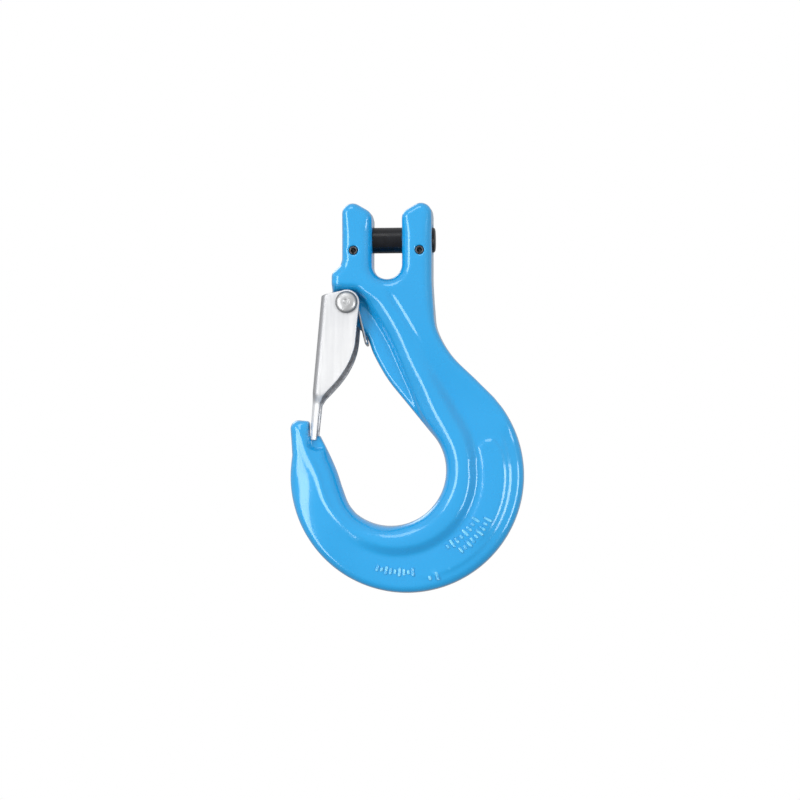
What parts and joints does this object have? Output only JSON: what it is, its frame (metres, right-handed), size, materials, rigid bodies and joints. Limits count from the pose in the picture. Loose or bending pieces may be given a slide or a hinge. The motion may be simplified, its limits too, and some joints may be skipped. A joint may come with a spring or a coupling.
{
  "type": "clevis sling hook with safety latch",
  "caption": "Forged clevis sling hook for lifting chain, with a load pin across the clevis and a spring-loaded pressed-steel safety latch across the throat.",
  "frame": {"origin": "middle of the clevis: on the load pin's axis, halfway between the ears, on the forging's parting plane", "axes": "+Z from the bowl up to the clevis, +X along the load pin, away from the hook's tip, +Y away from the latch rivet's domed head"},
  "size_m": [0.113, 0.0261, 0.1884],
  "materials": {
    "blue_powder_coat": "glossy sky-blue powder coat over a forging",
    "black_oxide_steel": "black oxide, satin",
    "spring_pin_steel": "dark phosphated spring steel",
    "zinc_plated_sheet": "bright zinc plate on pressed sheet",
    "rivet_steel": "plain steel, turned",
    "spring_wire": "drawn spring wire"
  },
  "bodies": {
    "hook": {"hook_body": "blue_powder_coat", "load_pin": "black_oxide_steel", "load_pin_retainer_left": "spring_pin_steel", "load_pin_retainer_right": "spring_pin_steel", "latch_rivet": "rivet_steel", "latch_spring": "spring_wire"},
    "latch": {"latch": "zinc_plated_sheet"}
  },
  "joints": [
    {"name": "latch_hinge", "type": "hinge", "parent": "hook", "child": "latch", "pos_m": [-0.0194, 0, -0.0314], "axis": [0, -1, 0], "range_deg": [0, 45], "stiffness_Nm_per_rad": 0.15, "springref_deg": -57.3, "deforming": ["latch_spring"]}
  ]
}
